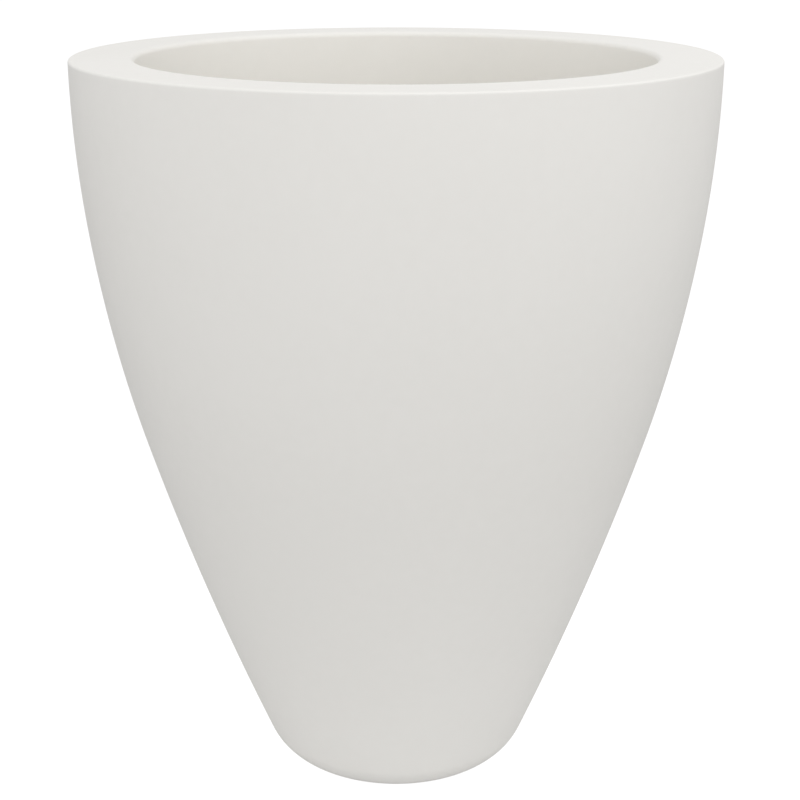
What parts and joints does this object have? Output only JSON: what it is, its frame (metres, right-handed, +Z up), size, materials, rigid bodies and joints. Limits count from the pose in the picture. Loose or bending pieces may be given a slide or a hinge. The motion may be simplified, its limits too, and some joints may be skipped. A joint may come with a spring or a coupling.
{
  "type": "floor planter",
  "caption": "Tall tapered glass-fibre planter, round, with a wide flat lip turned in over the mouth, a rounded foot and a plugged drain hole.",
  "frame": {"origin": "centre of the foot, on the ground", "axes": "+Z up along the planter's axis of turning, +Y towards the back of the pictured view, +X to its right"},
  "size_m": [0.711, 0.711, 0.84],
  "materials": {
    "white_gelcoat": "satin white gelcoat on glass-fibre laminate, faint ripple",
    "bare_laminate": "uncoated glass-fibre laminate, strands showing",
    "plug_rubber": "matte black moulded rubber"
  },
  "bodies": {
    "planter": {"planter_shell": "white_gelcoat", "lip_ring": "white_gelcoat", "lip_tape": "bare_laminate", "floor_pad": "bare_laminate"},
    "plug": {"drain_plug": "plug_rubber"}
  },
  "joints": [
    {"name": "plug_lift", "type": "slide", "parent": "planter", "child": "plug", "axis": [0, 0, 1], "range_m": [0, 0.86]}
  ]
}
